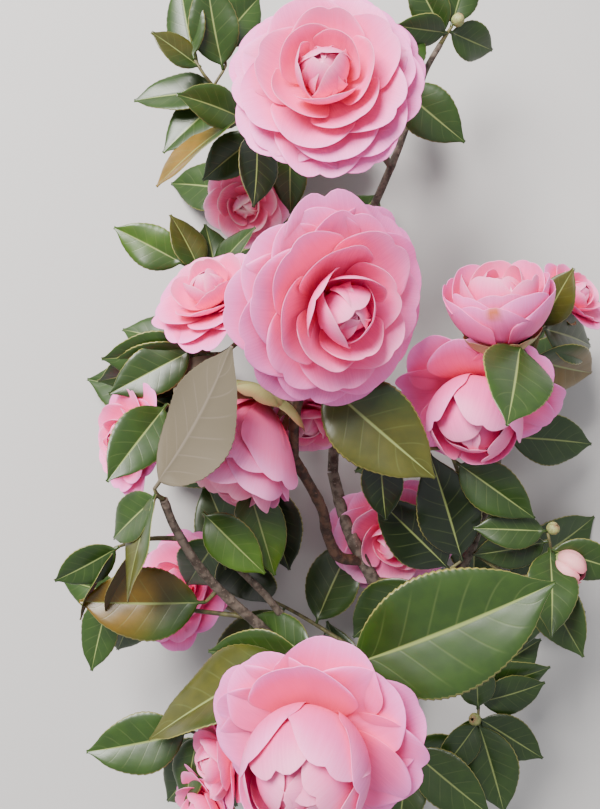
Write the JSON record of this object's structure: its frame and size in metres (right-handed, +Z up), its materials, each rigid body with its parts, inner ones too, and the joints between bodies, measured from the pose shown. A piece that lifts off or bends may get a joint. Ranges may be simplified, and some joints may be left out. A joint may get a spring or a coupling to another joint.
{
  "type": "flowering camellia branch",
  "caption": "Cut camellia branch with full pink double blooms, buds and glossy pointed leaves, lying on its back on a flat surface with its blooms upward.",
  "frame": {"origin": "under the middle of the branch's bounding box, on the surface it lies on", "axes": "+Y along the branch from the cut end of its main stem to its top leaves, +Z up, the way its blooms face, +X to the right of the branch as its blooms are looked at"},
  "size_m": [0.2914, 0.4718, 0.2009],
  "materials": {
    "bark": "matte",
    "blossom": "soft matte",
    "leaves": "glossy"
  },
  "bodies": {
    "root": {"main_stem": "bark", "bough_grey_low": "bark", "bough_grey_high": "bark", "bough_grey_tip": "bark", "bough_dark": "bark", "bough_knee": "bark", "bough_left": "bark", "bough_left_inner": "bark", "bough_right": "bark", "twig_top": "bark", "twig_bottom": "bark", "twig_bottom_left": "bark", "twig_left": "bark", "twig_left_low": "bark", "bloom_centre": "blossom", "bloom_top": "blossom", "bloom_bottom": "blossom", "bloom_left": "blossom", "bloom_left_low": "blossom", "bloom_under": "blossom", "bloom_behind": "blossom", "bloom_right": "blossom", "bloom_right_cup": "blossom", "bloom_far_low": "blossom", "bloom_left_hidden": "blossom", "bloom_bottom_left": "blossom", "bloom_bottom_edge": "blossom", "bloom_top_left": "blossom", "bloom_far_right": "blossom", "leaves_broad": "leaves", "leaves_top_left": "leaves", "leaves_top_left_low": "leaves", "leaves_top_right": "leaves", "leaves_top_right_low": "leaves", "leaves_left_upper": "leaves", "leaves_left_middle": "leaves", "leaves_left_droop": "leaves", "leaves_left_lower": "leaves", "leaves_left_outer": "leaves", "leaves_left_under": "leaves", "leaves_left_far": "leaves", "leaves_centre_left": "leaves", "leaves_knee": "leaves", "leaves_centre": "leaves", "leaves_centre_right": "leaves", "leaves_right_inner": "leaves", "leaves_right": "leaves", "leaves_far_right": "leaves", "leaves_right_low": "leaves", "leaves_low_right": "leaves", "leaves_lower_left": "leaves", "leaves_bottom_left": "leaves", "leaves_bottom_right": "leaves", "leaves_back_top": "leaves", "leaves_back_top_left": "leaves", "leaves_back_left": "leaves", "leaves_back_low_left": "leaves", "leaves_back_right": "leaves", "leaves_back_low_right": "leaves", "leaves_back_bottom": "leaves"}
  },
  "joints": []
}
